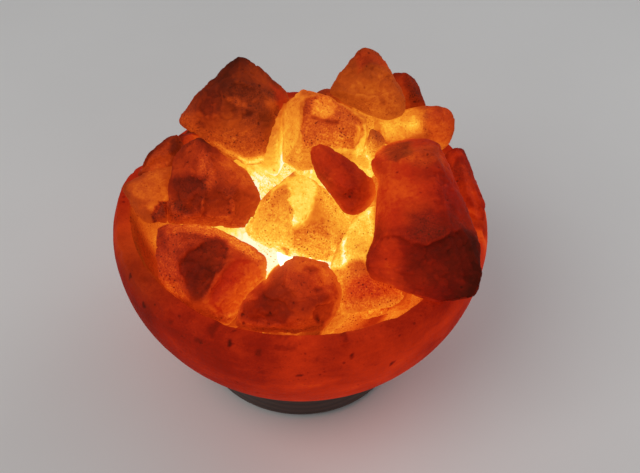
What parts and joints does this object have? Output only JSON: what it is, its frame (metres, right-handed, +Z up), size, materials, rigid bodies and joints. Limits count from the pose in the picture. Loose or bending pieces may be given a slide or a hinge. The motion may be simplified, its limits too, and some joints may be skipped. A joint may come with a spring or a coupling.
{
  "type": "salt crystal lamp",
  "caption": "Turned rock-salt bowl filled with loose raw salt chunks, lit from inside by a small screw-in lamp held in a pull-out holder, on a round dark wooden base.",
  "frame": {"origin": "centre of the lamp's footprint, on the table surface under the rubber feet", "axes": "+Z up along the bowl's turning axis; -Y is the side the picture shows, +Y the back with the cord groove, +X to the right"},
  "size_m": [0.2, 0.2, 0.1684],
  "materials": {
    "bowl_salt": "lathe-turned rock salt, lightly polished, lit from inside",
    "chunk_salt": "raw broken rock salt, frosty, lit from inside",
    "dark_wood": "turned hardwood, dark stain, satin",
    "zinc_steel": "zinc plated",
    "plug_plastic": "moulded nylon",
    "foot_rubber": "matt rubber",
    "black_phenolic": "moulded phenolic",
    "porcelain": "unglazed porcelain",
    "terminal_brass": "pressed brass",
    "spring_steel": "spring strip",
    "bulb_glass": "clear lamp glass, lit",
    "stem_glass": "lamp stem glass",
    "lead_wire": "nickel wire",
    "hot_filament": "glowing tungsten coil",
    "cap_nickel": "nickel plated brass cap",
    "cap_insulator": "black vitrite glass",
    "solder_tip": "soldered contact"
  },
  "bodies": {
    "root": {"base_screws": "zinc_steel", "chip_back": "chunk_salt", "chip_back_right": "chunk_salt", "chip_left": "chunk_salt", "chunk_back_centre": "chunk_salt", "chunk_back_right": "chunk_salt", "chunk_centre": "chunk_salt", "chunk_left_small": "chunk_salt", "chunk_lower_back_left": "chunk_salt", "chunk_lower_back_right": "chunk_salt", "chunk_lower_front": "chunk_salt", "chunk_lower_front_left": "chunk_salt", "chunk_lower_front_right": "chunk_salt", "chunk_lower_left": "chunk_salt", "chunk_lower_right": "chunk_salt", "chunk_rear_centre": "chunk_salt", "chunk_rear_left": "chunk_salt", "chunk_rear_right": "chunk_salt", "chunk_right_inner": "chunk_salt", "foot_back_left": "foot_rubber", "foot_back_right": "foot_rubber", "foot_front_left": "foot_rubber", "foot_front_right": "foot_rubber", "salt_bowl": "bowl_salt", "screw_plugs": "plug_plastic", "sliver_back": "chunk_salt", "wooden_base": "dark_wood"},
    "loose_chunk_back_left": {"chunk_back_left": "chunk_salt"},
    "loose_chunk_left_upper": {"chunk_left_upper": "chunk_salt"},
    "loose_chunk_front_left": {"chunk_front_left": "chunk_salt"},
    "loose_chunk_front": {"chunk_front": "chunk_salt"},
    "loose_slab_centre_right": {"slab_centre_right": "chunk_salt"},
    "loose_chunk_right_large": {"chunk_right_large": "chunk_salt"},
    "loose_chunk_back_tall": {"chunk_back_tall": "chunk_salt"},
    "loose_chunk_back_edge": {"chunk_back_edge": "chunk_salt"},
    "loose_slab_right_rim": {"slab_right_rim": "chunk_salt"},
    "loose_chunk_left_back": {"chunk_left_back": "chunk_salt"},
    "loose_chunk_left_rim": {"chunk_left_rim": "chunk_salt"},
    "lamp_holder": {"lamp_holder_shell": "black_phenolic", "lamp_holder_cap": "black_phenolic", "lamp_holder_core": "porcelain", "terminal_screws": "terminal_brass", "socket_shell": "terminal_brass", "centre_contact": "terminal_brass", "clip_collar": "spring_steel"},
    "clip_right": {"spring_clip_right": "spring_steel"},
    "clip_left": {"spring_clip_left": "spring_steel"},
    "bulb_contact": {"bulb_tip": "solder_tip"},
    "bulb": {"bulb_glass": "bulb_glass", "bulb_stem": "stem_glass", "bulb_lead_wires": "lead_wire", "bulb_filament": "hot_filament", "bulb_cap": "cap_nickel", "bulb_insulator": "cap_insulator"}
  },
  "joints": [
    {"name": "lift_chunk_back_left", "type": "slide", "parent": "root", "child": "loose_chunk_back_left", "axis": [0, 0, 1], "range_m": [0, 0.12]},
    {"name": "lift_chunk_left_upper", "type": "slide", "parent": "root", "child": "loose_chunk_left_upper", "axis": [0, 0, 1], "range_m": [0, 0.12]},
    {"name": "lift_chunk_front_left", "type": "slide", "parent": "root", "child": "loose_chunk_front_left", "axis": [0, 0, 1], "range_m": [0, 0.12]},
    {"name": "lift_chunk_front", "type": "slide", "parent": "root", "child": "loose_chunk_front", "axis": [0, 0, 1], "range_m": [0, 0.12]},
    {"name": "lift_slab_centre_right", "type": "slide", "parent": "root", "child": "loose_slab_centre_right", "axis": [0, 0, 1], "range_m": [0, 0.12]},
    {"name": "lift_chunk_right_large", "type": "slide", "parent": "root", "child": "loose_chunk_right_large", "axis": [0, 0, 1], "range_m": [0, 0.12]},
    {"name": "lift_chunk_back_tall", "type": "slide", "parent": "root", "child": "loose_chunk_back_tall", "axis": [0, 0, 1], "range_m": [0, 0.12]},
    {"name": "lift_chunk_back_edge", "type": "slide", "parent": "root", "child": "loose_chunk_back_edge", "axis": [0, 0, 1], "range_m": [0, 0.12]},
    {"name": "lift_slab_right_rim", "type": "slide", "parent": "root", "child": "loose_slab_right_rim", "axis": [0, 0, 1], "range_m": [0, 0.12]},
    {"name": "lift_chunk_left_back", "type": "slide", "parent": "root", "child": "loose_chunk_left_back", "axis": [0, 0, 1], "range_m": [0, 0.12]},
    {"name": "lift_chunk_left_rim", "type": "slide", "parent": "root", "child": "loose_chunk_left_rim", "axis": [0, 0, 1], "range_m": [0, 0.12]},
    {"name": "holder_pull", "type": "slide", "parent": "root", "child": "lamp_holder", "axis": [0, 0, -1], "range_m": [0, 0.09]},
    {"name": "clip_squeeze_right", "type": "hinge", "parent": "lamp_holder", "child": "clip_right", "pos_m": [0.016, 0, 0.046], "axis": [0, 1, 0], "range_deg": [0, 10], "stiffness_Nm_per_rad": 0.03},
    {"name": "clip_squeeze_left", "type": "hinge", "parent": "lamp_holder", "child": "clip_left", "pos_m": [-0.016, 0, 0.046], "axis": [0, -1, 0], "range_deg": [0, 10], "stiffness_Nm_per_rad": 0.03},
    {"name": "bulb_advance", "type": "slide", "parent": "lamp_holder", "child": "bulb_contact", "axis": [0, 0, 1], "range_m": [0, 0.0099]},
    {"name": "bulb_turn", "type": "hinge", "parent": "bulb_contact", "child": "bulb", "pos_m": [0, 0, 0.07], "axis": [0, 0, 1], "range_deg": [0, 1260]}
  ],
  "couplings": [
    {"joint": "bulb_advance", "follows": "bulb_turn", "m_per_rad": 0.00044882}
  ]
}
